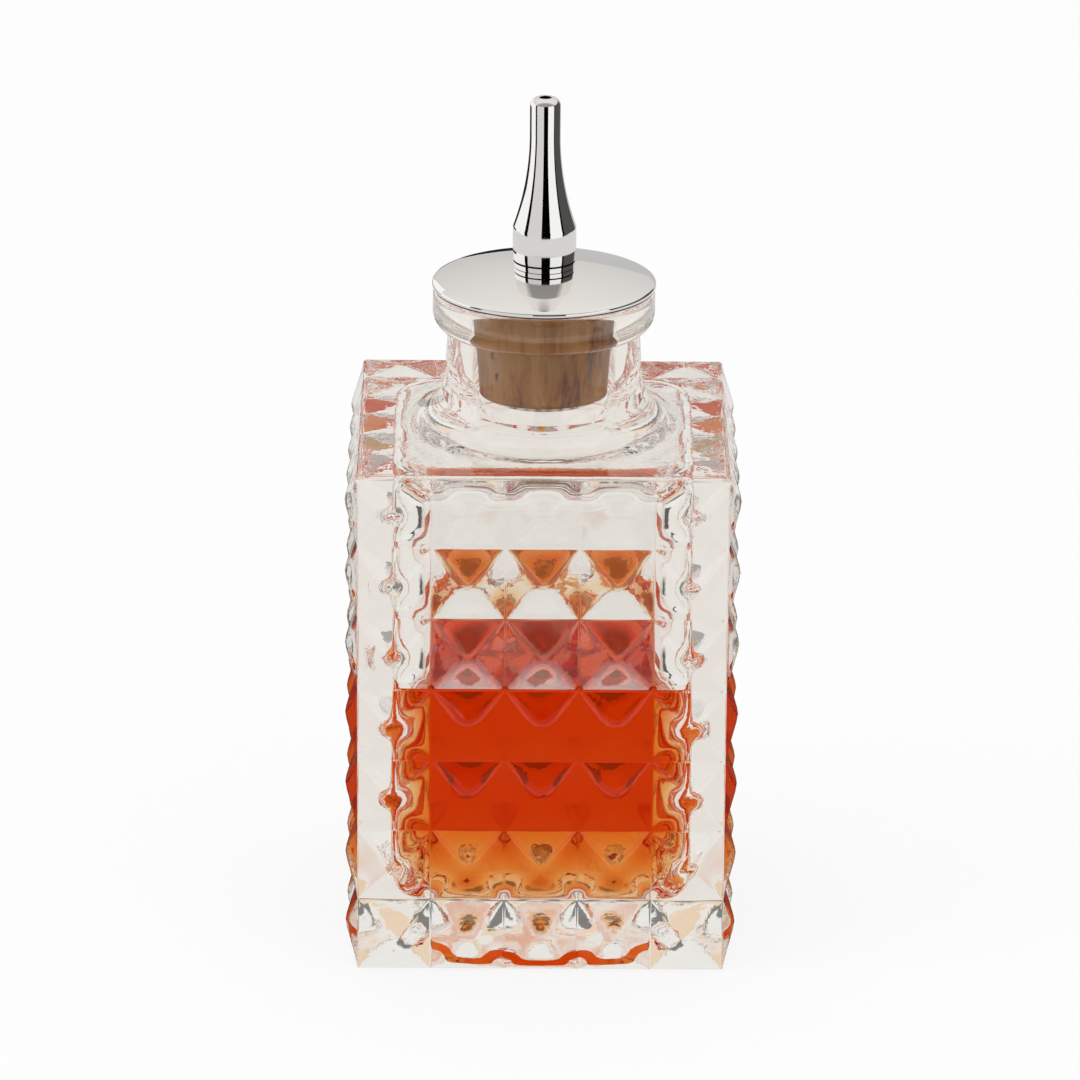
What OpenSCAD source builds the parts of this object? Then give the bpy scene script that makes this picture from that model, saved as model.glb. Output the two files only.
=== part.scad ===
// Dasher bottle for cocktail bitters: a square pressed-glass bottle with a diamond-point pattern,
// closed by a cork that carries a domed metal plate and a narrow pouring spout.
// Millimetres. The origin is the centre of the base, +Z runs up through the spout.

/* [Glass body] */
// Width and depth of the body, measured in the valleys between the diamond points
body_w = 60; // [54:1:76]
// Height of the body, from the table to the flat of the shoulder
body_h = 85.75; // [72:0.25:110]
// Diamond cells across each side
cell_columns = 5; // [3:1:8]
// Diamond cells up each side
cell_rows = 7; // [4:1:10]
// How far a diamond point stands out of the valleys
point_h = 2.2; // [0.6:0.1:3.5]
// Radius of the rounded edge around the shoulder
shoulder_edge_r = 1.2; // [0.4:0.1:2.5]
// Radius of the round panel that is pressed into the underside
base_panel_r = 22; // [10:0.5:25]
// Depth of the panel in the underside
base_panel_depth = 0.8; // [0.3:0.1:2]

/* [Hollow] */
// Thickness of the side walls behind the valleys
wall_t = 5.5; // [3:0.25:8]
// Thickness of the glass floor
floor_t = 11; // [5:0.5:18]
// Thickness of the shoulder glass
shoulder_t = 5.5; // [3.5:0.25:8]
// Radius of the upright corners of the hollow
hollow_corner_r = 8; // [4:0.5:14]
// Radius between the walls and the floor of the hollow
hollow_floor_r = 5; // [2:0.5:10]
// Radius between the walls and the roof of the hollow
hollow_roof_r = 7; // [3:0.5:12]
// Radius where the roof of the hollow turns up into the neck
throat_r = 6; // [2:0.5:8]

/* [Neck] */
// Height of the neck, from the shoulder to the top of the lip
neck_h = 22.4; // [19:0.2:34]
// Outer radius of the neck under the lip
neck_r = 15.7; // [14.8:0.1:17]
// How much wider the neck is at its foot than under the lip
neck_flare = 0.45; // [0:0.05:1.2]
// Radius of the fillet between neck and shoulder
neck_fillet_r = 8; // [2:0.5:8.5]
// Outer radius of the rounded lip
lip_r = 18.2; // [17.2:0.1:21]
// Height of the lip
lip_h = 6.75; // [4.5:0.25:9]
// Radius under the lip
lip_under_r = 3; // [1:0.1:3.2]
// Radius of the lip's two upper edges
lip_top_r = 1.1; // [0.4:0.1:1.3]
// Radius of the bore that the cork sits in
bore_r = 12; // [10:0.1:12.6]

/* [Bitters] */
// Height of the surface of the bitters above the table
fill_z = 47.8; // [25:0.2:70]

/* [Cork] */
// Length of the cork below the plate
cork_l = 17.7; // [10:0.1:18]
// How much the cork's radius shrinks from its top to its bottom
cork_taper = 1.3; // [0.3:0.1:2]
// Bevel around the bottom edge of the cork
cork_bevel = 0.7; // [0.2:0.1:1.5]

/* [Cap plate] */
// Outer radius of the plate
plate_r = 18.3; // [15:0.1:22]
// Thickness of the plate at its rim
plate_rim_t = 1.15; // [0.8:0.05:3]
// Radius of the sphere that the plate is domed to
plate_dome_r = 64; // [35:1:200]
// Radius of the rim's two edges
plate_edge_r = 0.4; // [0.1:0.05:0.4]

/* [Spout] */
// Height of the spout above its seat on the plate
spout_h = 28.5; // [20:0.5:45]
// Radius of the spout's foot where it is widest
spout_foot_r = 5.2; // [4.4:0.1:8]
// Height of the foot, up to where the waist begins
spout_foot_h = 6.6; // [5:0.1:10]
// Height of the foot's widest place
spout_belly_h = 4.7; // [2:0.1:4.8]
// Radius that the side of the foot is barrelled to
spout_belly_r = 42; // [20:1:120]
// Radius of the soft corner between foot and waist
spout_corner_r = 1.5; // [0.2:0.1:2.5]
// Radius of the spout's straight tip
spout_tip_r = 2.5; // [1.8:0.1:3]
// Height of the straight tip
spout_tip_h = 6.4; // [3:0.1:9]
// Radius of the tip's rounded upper edge
spout_tip_edge_r = 1.4; // [0.2:0.1:1.6]
// Radius of the hole that the drops leave by
dash_hole_r = 1; // [0.4:0.1:1.2]

/* [Feed tube and washer] */
// Outer radius of the tube that joins the spout to the hollow
tube_r = 3; // [2.6:0.1:3.4]
// Wall of the tube
tube_wall = 1; // [0.5:0.1:1.2]
// How far the tube reaches up into the spout
tube_grip = 5.4; // [2:0.2:6]
// Radius of the flange that is rolled out under the washer
tube_flange_r = 4.3; // [4:0.1:6]
// Thickness of the rolled flange
tube_flange_t = 0.6; // [0.4:0.1:1.2]
// Radius of the washer that holds the cork on the tube
washer_r = 9; // [6.5:0.1:9.5]
// Thickness of the washer
washer_t = 1; // [0.5:0.1:2]

/* [Clearances] */
// Radial gap between the cork and the bore at the cork's top
cork_gap = 0.1; // [0.05:0.01:0.3]
// Gap between the underside of the plate and the lip
plate_gap = 0.1; // [0.05:0.01:0.3]
// Gap between pieces of the stopper that seat on each other
seat_gap = 0.05; // [0.02:0.01:0.1]
// Gap between the bitters and the glass
fill_gap = 0.1; // [0.05:0.01:0.2]

/* [Hidden] */
$fn = 72;
// Cutters pass this far through what they cut
through = 1;
// The neck's fillet and the hollow's throat dip this far past the faces that they run into
dip = 0.05;

// The square body
half_w = body_w / 2;
column_w = body_w / cell_columns;
row_h = body_h / cell_rows;
point_reach = half_w + point_h;
// Lean of a cell's upper face, and how far the shoulder's rounding runs along each of its two lines
cell_lean = atan(point_h / (row_h / 2));
edge_run = shoulder_edge_r / tan(45 + cell_lean / 2);

// The hollow
hollow_half = half_w - wall_t;
roof_z = body_h - shoulder_t;

// The neck
neck_foot_r = neck_r + neck_flare;
lip_top_z = body_h + neck_h;
lip_base_z = lip_top_z - lip_h;

// The stopper, from the lip up
plate_z = lip_top_z + plate_gap;
plate_rim_z = plate_z + plate_rim_t;
dome_centre_z = plate_rim_z - sqrt(pow(plate_dome_r, 2) - pow(plate_r, 2));
spout_z = dome_centre_z + sqrt(pow(plate_dome_r, 2) - pow(spout_foot_r, 2)) + seat_gap;
spout_top_z = spout_z + spout_h;
spout_waist_z = spout_top_z - spout_tip_h;
tube_hole_r = tube_r + seat_gap;
tube_bore_r = tube_r - tube_wall;
tube_top_z = spout_z + tube_grip;
socket_top_z = tube_top_z + seat_gap;

// The stopper, from the plate down
cork_top_z = plate_z - seat_gap;
cork_base_z = cork_top_z - cork_l;
cork_top_r = bore_r - cork_gap;
cork_base_r = cork_top_r - cork_taper;
washer_z = cork_base_z - seat_gap - washer_t;
flange_z = washer_z - seat_gap - tube_flange_t;

// The waist is one concave arc, from the top edge of the foot to the foot of the tip
waist_rise = spout_waist_z - (spout_z + spout_foot_h);
waist_step = spout_foot_r - spout_tip_r;
waist_r = (pow(waist_rise, 2) + pow(waist_step, 2)) / (2 * waist_step);
waist_centre = [spout_tip_r + waist_r, spout_waist_z];

// The corner's circle touches the foot's barrel from inside and the waist's circle from outside
belly_centre = [spout_foot_r - spout_belly_r, spout_z + spout_belly_h];
belly_to_waist = waist_centre - belly_centre;
belly_reach = spout_belly_r - spout_corner_r;
waist_reach = waist_r + spout_corner_r;
span = norm(belly_to_waist);
along = (pow(belly_reach, 2) - pow(waist_reach, 2) + pow(span, 2)) / (2 * span);
aside = sqrt(pow(belly_reach, 2) - pow(along, 2));
span_way = belly_to_waist / span;
corner_centre = belly_centre + along * span_way + aside * [span_way[1], -span_way[0]];
belly_way = (corner_centre - belly_centre) / norm(corner_centre - belly_centre);
waist_way = (waist_centre - corner_centre) / norm(waist_centre - corner_centre);
foot_end_z = corner_centre[1] + spout_corner_r * belly_way[1];
waist_start_z = corner_centre[1] + spout_corner_r * waist_way[1];

// Outline of one side from bottom to top: n valleys and n peaks, then the last valley
function zigzag(n, length, base, peak) = [
    for (i = [0 : 2 * n]) [base + (i % 2) * peak, i * length / (2 * n)]
];

function mirrored(points) = [for (i = [len(points) - 1 : -1 : 0]) [-points[i][0], points[i][1]]];

function turned(points, angle) = [
    for (p = points) [p[0] * cos(angle) - p[1] * sin(angle), p[0] * sin(angle) + p[1] * cos(angle)]
];

function lowered(points, drop) = [for (p = points) [p[0], p[1] - drop]];

// Plan of the body: four zigzag sides that share the corners of a square
module plan_outline() {
    side = lowered(zigzag(cell_columns, body_w, half_w, point_h), half_w);
    open_side = [for (i = [0 : len(side) - 2]) side[i]];
    polygon([for (quarter = [0 : 3]) each turned(open_side, quarter * 90)]);
}

// Elevation of the body: two zigzag sides, a flat base, and a shoulder with rounded edges
module elevation_outline() {
    full_side = zigzag(cell_rows, body_h, half_w, point_h);
    side = [for (i = [0 : len(full_side) - 2]) full_side[i]];
    slant_end = [half_w + edge_run * sin(cell_lean), body_h - edge_run * cos(cell_lean)];
    flat_end = [half_w - edge_run, body_h];
    edge = concat(side, [slant_end, flat_end]);
    polygon(concat(edge, mirrored(edge)));
    for (x = [-1, 1])
        translate([x * flat_end[0], body_h - shoulder_edge_r])
            circle(r = shoulder_edge_r);
}

// The cut pattern: three zigzag prisms leave a four-sided pyramid in every cell
module diamond_point_block() {
    intersection() {
        linear_extrude(height = body_h)
            plan_outline();
        translate([0, point_reach + through, 0])
            rotate([90, 0, 0])
                linear_extrude(height = 2 * (point_reach + through))
                    elevation_outline();
        rotate([0, 0, 90])
            translate([0, point_reach + through, 0])
                rotate([90, 0, 0])
                    linear_extrude(height = 2 * (point_reach + through))
                        elevation_outline();
    }
}

// Square with round corners, centred on the origin
module rounded_square(half, corner_r) {
    square([2 * half, 2 * (half - corner_r)], center = true);
    square([2 * (half - corner_r), 2 * half], center = true);
    for (x = [-1, 1], y = [-1, 1])
        translate([x * (half - corner_r), y * (half - corner_r)])
            circle(r = corner_r);
}

// Upright section of the hollow, drawn in by inset on every side
module hollow_section(inset) {
    half = hollow_half - inset;
    low_z = floor_t + inset;
    high_z = roof_z - inset;
    low_r = hollow_floor_r - inset;
    high_r = hollow_roof_r - inset;
    translate([-half, low_z + low_r])
        square([2 * half, high_z - high_r - low_z - low_r]);
    translate([-half + low_r, low_z])
        square([2 * (half - low_r), low_r + through]);
    translate([-half + high_r, high_z - high_r - through])
        square([2 * (half - high_r), high_r + through]);
    for (x = [-1, 1]) {
        translate([x * (half - low_r), low_z + low_r])
            circle(r = low_r);
        translate([x * (half - high_r), high_z - high_r])
            circle(r = high_r);
    }
}

// The square part of the hollow, also the mould for what fills it
module hollow_block(inset = 0) {
    intersection() {
        linear_extrude(height = body_h)
            rounded_square(hollow_half - inset, hollow_corner_r - inset);
        translate([0, half_w, 0])
            rotate([90, 0, 0])
                linear_extrude(height = body_w)
                    hollow_section(inset);
        rotate([0, 0, 90])
            translate([0, half_w, 0])
                rotate([90, 0, 0])
                    linear_extrude(height = body_w)
                        hollow_section(inset);
    }
}

// Everything of the neck that is turned, as half a section
module neck_section() {
    // the tapered wall, rooted in the shoulder
    polygon([
        [0, body_h - shoulder_t / 2],
        [neck_foot_r, body_h - shoulder_t / 2],
        [neck_foot_r, body_h],
        [neck_r, lip_base_z],
        [neck_r, lip_top_z - lip_top_r],
        [0, lip_top_z - lip_top_r]
    ]);
    // the fillet that runs out over the shoulder
    difference() {
        translate([neck_foot_r - through, body_h - shoulder_t / 2])
            square([neck_fillet_r + through, neck_fillet_r + shoulder_t / 2 - dip]);
        translate([neck_foot_r + neck_fillet_r, body_h + neck_fillet_r - dip])
            circle(r = neck_fillet_r);
    }
    // the lip, full below and crisp above
    lip_in = bore_r - through;
    translate([lip_in, lip_base_z + lip_under_r])
        square([lip_r - lip_in, lip_h - lip_under_r - lip_top_r]);
    translate([lip_in, lip_base_z])
        square([lip_r - lip_under_r - lip_in, lip_h - lip_top_r]);
    translate([lip_in, lip_top_z - 2 * lip_top_r])
        square([lip_r - lip_top_r - lip_in, 2 * lip_top_r]);
    translate([lip_r - lip_under_r, lip_base_z + lip_under_r])
        circle(r = lip_under_r);
    translate([lip_r - lip_top_r, lip_top_z - lip_top_r])
        circle(r = lip_top_r);
}

// The way in: the cork's bore, its eased mouth, and the throat that opens into the hollow
module bore_cutter() {
    translate([0, 0, roof_z - hollow_roof_r])
        cylinder(h = lip_top_z - roof_z + hollow_roof_r + through, r = bore_r);
    rotate_extrude() {
        difference() {
            translate([bore_r - through, lip_top_z - lip_top_r])
                square([through + lip_top_r, lip_top_r + through]);
            translate([bore_r + lip_top_r, lip_top_z - lip_top_r])
                circle(r = lip_top_r);
        }
        difference() {
            translate([bore_r - through, roof_z - through])
                square([through + throat_r, throat_r + through + dip]);
            translate([bore_r + throat_r, roof_z + throat_r + dip])
                circle(r = throat_r);
        }
    }
}

module glass_bottle() {
    color([0.90, 0.93, 0.93, 0.45])
        difference() {
            union() {
                diamond_point_block();
                rotate_extrude()
                    neck_section();
            }
            hollow_block();
            bore_cutter();
            // shallow panel, so that the bottle stands on its rim
            translate([0, 0, -through])
                cylinder(h = base_panel_depth + through, r = base_panel_r);
        }
}

module bitters() {
    color([0.72, 0.20, 0.02])
        intersection() {
            hollow_block(fill_gap);
            translate([-half_w, -half_w, 0])
                cube([body_w, body_w, fill_z]);
        }
}

module cork() {
    color([0.66, 0.47, 0.31])
        difference() {
            union() {
                translate([0, 0, cork_base_z + cork_bevel])
                    cylinder(h = cork_l - cork_bevel, r1 = cork_base_r, r2 = cork_top_r);
                translate([0, 0, cork_base_z])
                    cylinder(h = cork_bevel, r1 = cork_base_r - cork_bevel, r2 = cork_base_r);
            }
            translate([0, 0, cork_base_z - through])
                cylinder(h = cork_l + 2 * through, r = tube_hole_r);
        }
}

// Half section of the plate: flat below, round at the rim, spherical above, flat under the spout
module plate_section() {
    rim_in = plate_r - plate_edge_r;
    intersection() {
        translate([tube_hole_r, plate_z])
            square([rim_in - tube_hole_r, spout_z - seat_gap - plate_z]);
        translate([0, dome_centre_z])
            circle(r = plate_dome_r, $fn = 360);
    }
    translate([rim_in, plate_z + plate_edge_r])
        circle(r = plate_edge_r);
    translate([rim_in, plate_rim_z - plate_edge_r])
        circle(r = plate_edge_r);
    translate([rim_in - plate_edge_r, plate_z + plate_edge_r])
        square([2 * plate_edge_r, plate_rim_t - 2 * plate_edge_r]);
}

module cap_plate() {
    color([0.80, 0.80, 0.79])
        rotate_extrude()
            plate_section();
}

// Half section of the spout's outside: barrelled foot, soft corner, concave waist, round-ended tip
module spout_section() {
    intersection() {
        translate([0, spout_z])
            square([spout_foot_r, foot_end_z - spout_z]);
        translate(belly_centre)
            circle(r = spout_belly_r, $fn = 360);
    }
    translate([0, foot_end_z - through])
        square([corner_centre[0], waist_start_z - foot_end_z + 2 * through]);
    translate(corner_centre)
        circle(r = spout_corner_r);
    difference() {
        translate([0, waist_start_z])
            square([spout_foot_r, spout_waist_z - waist_start_z]);
        translate(waist_centre)
            circle(r = waist_r, $fn = 360);
    }
    translate([0, spout_waist_z - through])
        square([spout_tip_r, spout_tip_h + through - spout_tip_edge_r]);
    translate([0, spout_top_z - 2 * spout_tip_edge_r])
        square([spout_tip_r - spout_tip_edge_r, 2 * spout_tip_edge_r]);
    intersection() {
        translate([0, spout_top_z - 2 * spout_tip_edge_r])
            square([spout_tip_r, 2 * spout_tip_edge_r]);
        translate([spout_tip_r - spout_tip_edge_r, spout_top_z - spout_tip_edge_r])
            circle(r = spout_tip_edge_r);
    }
}

module spout() {
    color([0.78, 0.78, 0.79])
        difference() {
            rotate_extrude()
                spout_section();
            // socket for the tube
            translate([0, 0, spout_z - through])
                cylinder(h = socket_top_z - spout_z + through, r = tube_hole_r);
            // the passage narrows up to the tip, then a straight hole measures the drops
            translate([0, 0, socket_top_z - seat_gap])
                cylinder(h = spout_waist_z - socket_top_z + seat_gap, r1 = tube_bore_r, r2 = dash_hole_r);
            translate([0, 0, spout_waist_z - through])
                cylinder(h = spout_tip_h + 2 * through, r = dash_hole_r);
        }
}

module feed_tube() {
    color([0.70, 0.71, 0.72])
        difference() {
            union() {
                translate([0, 0, flange_z])
                    cylinder(h = tube_top_z - flange_z, r = tube_r);
                translate([0, 0, flange_z])
                    cylinder(h = tube_flange_t, r = tube_flange_r);
            }
            translate([0, 0, flange_z - through])
                cylinder(h = tube_top_z - flange_z + 2 * through, r = tube_bore_r);
        }
}

module retaining_washer() {
    color([0.70, 0.71, 0.72])
        translate([0, 0, washer_z])
            difference() {
                cylinder(h = washer_t, r = washer_r);
                translate([0, 0, -through])
                    cylinder(h = washer_t + 2 * through, r = tube_hole_r);
            }
}

glass_bottle();
bitters();
cork();
cap_plate();
spout();
feed_tube();
retaining_washer();
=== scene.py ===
"""Looks of the bitters bottle: pressed glass, amber fill, cork stopper and polished dasher top.

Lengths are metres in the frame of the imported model: the origin is the centre of the base, +Z runs
up through the spout, and the camera looks along +Y.
"""

from __future__ import annotations

import logging
import math
from dataclasses import dataclass, field
from enum import Enum

import bmesh
import bpy
from mathutils import Matrix, Vector, noise

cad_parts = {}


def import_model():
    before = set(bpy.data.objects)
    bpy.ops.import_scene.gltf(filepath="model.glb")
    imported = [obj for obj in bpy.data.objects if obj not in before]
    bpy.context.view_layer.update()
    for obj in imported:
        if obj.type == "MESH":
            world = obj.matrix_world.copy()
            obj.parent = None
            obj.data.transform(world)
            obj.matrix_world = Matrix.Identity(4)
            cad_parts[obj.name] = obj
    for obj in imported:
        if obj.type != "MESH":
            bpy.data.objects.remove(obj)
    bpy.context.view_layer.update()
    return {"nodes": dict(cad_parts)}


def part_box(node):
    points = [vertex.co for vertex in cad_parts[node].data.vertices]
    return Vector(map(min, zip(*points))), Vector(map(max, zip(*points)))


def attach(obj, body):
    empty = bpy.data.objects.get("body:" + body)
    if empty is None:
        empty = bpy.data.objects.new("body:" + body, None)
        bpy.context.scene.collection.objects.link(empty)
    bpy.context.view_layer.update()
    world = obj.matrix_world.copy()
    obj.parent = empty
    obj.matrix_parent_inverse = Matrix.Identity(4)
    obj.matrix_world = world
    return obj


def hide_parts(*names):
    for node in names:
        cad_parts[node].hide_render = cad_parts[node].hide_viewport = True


LOG = logging.getLogger("bitters_bottle")
MM = 0.001
FULL_TURN = 2 * math.pi

Point = tuple[float, float]
Socket = bpy.types.NodeSocket
Node = bpy.types.Node


class Body(Enum):
    """The two rigid bodies that pieces ride on."""

    BOTTLE = "bottle"
    STOPPER = "stopper"


# Node trees


class Tree:
    """A node tree with short calls for adding and linking nodes."""

    def __init__(self, tree: bpy.types.NodeTree) -> None:
        """Starts from an empty tree.

        Args:
            tree: The tree of a material, a world or a group.
        """
        self.tree = tree
        tree.nodes.clear()

    def add(self, kind: str, settings: dict[str, object] | None = None, **inputs: object) -> Node:
        """Adds a node.

        Args:
            kind: The node's type name without its ShaderNode start.
            settings: Properties of the node itself.
            **inputs: Values or sockets by input name, with spaces as underscores.

        Returns:
            The new node.
        """
        made = self.tree.nodes.new("ShaderNode" + kind)
        for name, value in (settings or {}).items():
            setattr(made, name, value)
        for name, value in inputs.items():
            self.feed(made.inputs[name.replace("_", " ")], value)
        return made

    def feed(self, socket: Socket, value: object) -> None:
        """Links a socket, or sets it if value is plain."""
        if isinstance(value, bpy.types.NodeSocket):
            self.tree.links.new(value, socket)
        else:
            socket.default_value = value

    def maths(self, operation: str, *values: object, clamp: bool = False) -> Socket:
        """Adds a Math node.

        Args:
            operation: The node's operation, such as MULTIPLY.
            *values: Up to three values or sockets.
            clamp: Whether the result is held between 0 and 1.

        Returns:
            The node's output.
        """
        made = self.add("Math", {"operation": operation, "use_clamp": clamp})
        for socket, value in zip(made.inputs, values):
            self.feed(socket, value)
        return made.outputs[0]

    def ramp(self, factor: Socket, stops: list[tuple[float, object]]) -> Node:
        """Adds a Color Ramp.

        Args:
            factor: What drives it.
            stops: Places from 0 to 1, each with a colour of three parts or a grey.

        Returns:
            The node.
        """
        made = self.add("ValToRGB", Fac=factor)
        elements = made.color_ramp.elements
        while len(elements) < len(stops):
            elements.new(0.5)
        for element, (place, colour) in zip(elements, stops):
            element.position = place
            parts = (colour,) * 3 if isinstance(colour, (int, float)) else colour
            element.color = (*parts, 1.0)
        return made

    def mix(self, factor: object, first: object, second: object, blend: str = "MIX") -> Socket:
        """Mixes two colours.

        Args:
            factor: Share of the second.
            first: Colour or socket.
            second: Colour or socket.
            blend: The blend type.

        Returns:
            The mixed colour.
        """
        made = self.add("Mix", {"data_type": "RGBA", "blend_type": blend})
        self.feed(made.inputs["Factor"], factor)
        for socket, value in ((made.inputs[6], first), (made.inputs[7], second)):
            if isinstance(value, tuple) and len(value) == 3:
                value = (*value, 1.0)
            self.feed(socket, value)
        return made.outputs[2]


def new_group(name: str, inputs: dict[str, tuple[str, object]], outputs: dict[str, str]) -> tuple:
    """Starts a shader node group.

    Args:
        name: The group's name.
        inputs: Socket kind and default by input name.
        outputs: Socket kind by output name.

    Returns:
        The group, its Tree, its input node and its output node.
    """
    group = bpy.data.node_groups.new(name, "ShaderNodeTree")
    for socket_name, (kind, default) in inputs.items():
        made = group.interface.new_socket(socket_name, in_out="INPUT", socket_type="NodeSocket" + kind)
        made.default_value = default
    for socket_name, kind in outputs.items():
        group.interface.new_socket(socket_name, in_out="OUTPUT", socket_type="NodeSocket" + kind)
    tree = Tree(group)
    start = group.nodes.new("NodeGroupInput")
    end = group.nodes.new("NodeGroupOutput")
    return group, tree, start, end


class Effects:
    """Shader groups that several finishes share, each built once."""

    def __init__(self) -> None:
        """Builds the groups."""
        self.ripple = self._ripple()
        self.scratches = self._scratches()

    @staticmethod
    def _ripple() -> bpy.types.NodeTree:
        """Builds the group that bends a surface the way molten glass sets: long swells and fine ones.

        Returns:
            The group, with a Height output for a Bump node.
        """
        group, tree, start, end = new_group(
            "set_ripple",
            {
                "Swell Scale": ("Float", 90.0),
                "Fine Scale": ("Float", 420.0),
                "Fine Share": ("Float", 0.2),
                "Shoulder": ("Float", 0.08575),
                "Shoulder Gain": ("Float", 3.0),
            },
            {"Height": "Float"},
        )
        place = tree.add("TexCoord").outputs["Object"]
        swell = tree.add("TexNoise", Vector=place, Scale=start.outputs["Swell Scale"], Detail=1.0)
        fine = tree.add("TexNoise", Vector=place, Scale=start.outputs["Fine Scale"], Detail=2.0)
        share = tree.maths("MULTIPLY", fine.outputs[0], start.outputs["Fine Share"])
        height = tree.maths("ADD", swell.outputs[0], share)
        up = tree.add("SeparateXYZ", Vector=place).outputs[2]
        above = tree.maths("SUBTRACT", up, start.outputs["Shoulder"])
        on_shoulder = tree.maths("LESS_THAN", tree.maths("ABSOLUTE", above), 0.0004)
        on_neck = tree.maths("GREATER_THAN", above, 0.0004)
        gain = tree.maths("MULTIPLY_ADD", on_shoulder, start.outputs["Shoulder Gain"], 1.0)
        gain = tree.maths("MULTIPLY_ADD", on_neck, -0.75, gain)
        tree.feed(end.inputs["Height"], tree.maths("MULTIPLY", height, gain))
        return group

    @staticmethod
    def _scratches() -> bpy.types.NodeTree:
        """Builds the group of hairline polishing marks that run round a turned piece, and its handling marks.

        Returns:
            The group, with a Height for a Bump node and a Haze mask for roughness.
        """
        group, tree, start, end = new_group(
            "polishing_marks",
            {"Mark Scale": ("Float", 2600.0), "Haze Scale": ("Float", 160.0)},
            {"Height": "Float", "Haze": "Float"},
        )
        place = tree.add("TexCoord").outputs["Object"]
        parts = tree.add("SeparateXYZ", Vector=place)
        x, y, z = (parts.outputs[i] for i in range(3))
        round_trip = tree.maths("SQRT", tree.maths("ADD", tree.maths("MULTIPLY", x, x), tree.maths("MULTIPLY", y, y)))
        along = tree.maths("ADD", round_trip, z)
        line = tree.add("CombineXYZ", X=along, Y=tree.maths("MULTIPLY", x, 0.02), Z=tree.maths("MULTIPLY", y, 0.02))
        marks = tree.add("TexNoise", Vector=line.outputs[0], Scale=start.outputs["Mark Scale"], Detail=2.0)
        haze = tree.add("TexNoise", Vector=place, Scale=start.outputs["Haze Scale"], Detail=3.0)
        tree.feed(end.inputs["Height"], marks.outputs[0])
        tree.feed(end.inputs["Haze"], tree.ramp(haze.outputs[0], [(0.42, 0.0), (0.72, 1.0)]).outputs[0])
        return group


# Finishes


@dataclass(frozen=True)
class PressedGlass:
    """Clear pressed glass, fire-polished, with the slight ripple of the mould."""

    effects: Effects
    name: str = "pressed_glass"
    colour: tuple[float, float, float] = (0.985, 0.99, 0.988)
    ior: float = 1.5
    ripple: float = 0.00012

    def material(self) -> bpy.types.Material:
        """Builds the material."""
        made = bpy.data.materials.new(self.name)
        made.use_nodes = True
        tree = Tree(made.node_tree)
        ripple = tree.add("Group", {"node_tree": self.effects.ripple})
        bump = tree.add("Bump", Strength=1.0, Distance=self.ripple, Height=ripple.outputs["Height"])
        shader = tree.add(
            "BsdfPrincipled",
            Base_Color=(*self.colour, 1.0),
            Roughness=0.0,
            IOR=self.ior,
            Transmission_Weight=1.0,
            Normal=bump.outputs["Normal"],
        )
        tree.add("OutputMaterial", Surface=shader.outputs[0])
        return made


@dataclass(frozen=True)
class AmberBitters:
    """Red-brown bitters, clear, that take light away with depth: blue first, then green."""

    absorbed: tuple[float, float, float] = (0.957, 0.59, 0.04)
    density: float = 150.0
    ior: float = 1.36

    def material(self, name: str, bends: bool, absorbs: bool) -> bpy.types.Material:
        """Builds one of the materials of the fill.

        Args:
            name: The material's name.
            bends: Whether light bends where it passes.
            absorbs: Whether light is taken away behind it.

        Returns:
            The material.
        """
        made = bpy.data.materials.new(name)
        made.use_nodes = True
        tree = Tree(made.node_tree)
        shader = tree.add(
            "BsdfPrincipled",
            Base_Color=(1.0, 1.0, 1.0, 1.0),
            Roughness=0.0,
            IOR=self.ior if bends else 1.0,
            Transmission_Weight=1.0,
        )
        output = tree.add("OutputMaterial", Surface=shader.outputs[0])
        if absorbs:
            depth = tree.add("VolumeAbsorption", Color=(*self.absorbed, 1.0), Density=self.density)
            tree.feed(output.inputs["Volume"], depth.outputs[0])
        return made


@dataclass(frozen=True)
class NaturalCork:
    """Sanded natural cork: warm brown, darker upright growth bands, and open pores."""

    pale: tuple[float, float, float] = (0.80, 0.41, 0.155)
    middle: tuple[float, float, float] = (0.56, 0.22, 0.055)
    dark: tuple[float, float, float] = (0.17, 0.045, 0.01)

    def material(self) -> bpy.types.Material:
        """Builds the material."""
        made = bpy.data.materials.new("natural_cork")
        made.use_nodes = True
        tree = Tree(made.node_tree)
        place = tree.add("TexCoord").outputs["Object"]
        upright = tree.add("Mapping", Vector=place, Scale=(1.0, 1.0, 0.16)).outputs[0]
        bands = tree.add("TexNoise", Vector=upright, Scale=230.0, Detail=5.0, Roughness=0.65)
        grains = tree.add("TexNoise", Vector=place, Scale=1900.0, Detail=3.0, Roughness=0.7)
        cells = tree.add("TexVoronoi", {"feature": "F1"}, Vector=upright, Scale=420.0)
        pores = tree.ramp(cells.outputs["Distance"], [(0.06, 1.0), (0.20, 0.0)])
        rare = tree.ramp(tree.add("TexNoise", Vector=place, Scale=300.0, Detail=1.0).outputs[0], [(0.5, 0.0), (0.6, 1.0)])
        holes = tree.maths("MULTIPLY", pores.outputs[0], rare.outputs[0])
        grown = tree.ramp(bands.outputs[0], [(0.38, self.dark), (0.48, self.middle), (0.60, self.pale)])
        speckled = tree.mix(
            tree.maths("MULTIPLY", grains.outputs[0], 0.35), grown.outputs[0], self.pale, "MIX"
        )
        colour = tree.mix(holes, speckled, self.dark)
        height = tree.maths("SUBTRACT", tree.maths("MULTIPLY", grains.outputs[0], 0.35), holes)
        bump = tree.add("Bump", Strength=0.7, Distance=0.00025, Height=height)
        rough = tree.ramp(bands.outputs[0], [(0.3, 0.88), (0.7, 0.72)])
        shader = tree.add(
            "BsdfPrincipled", Base_Color=colour, Roughness=rough.outputs[0], Normal=bump.outputs["Normal"]
        )
        tree.add("OutputMaterial", Surface=shader.outputs[0])
        return made


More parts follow.
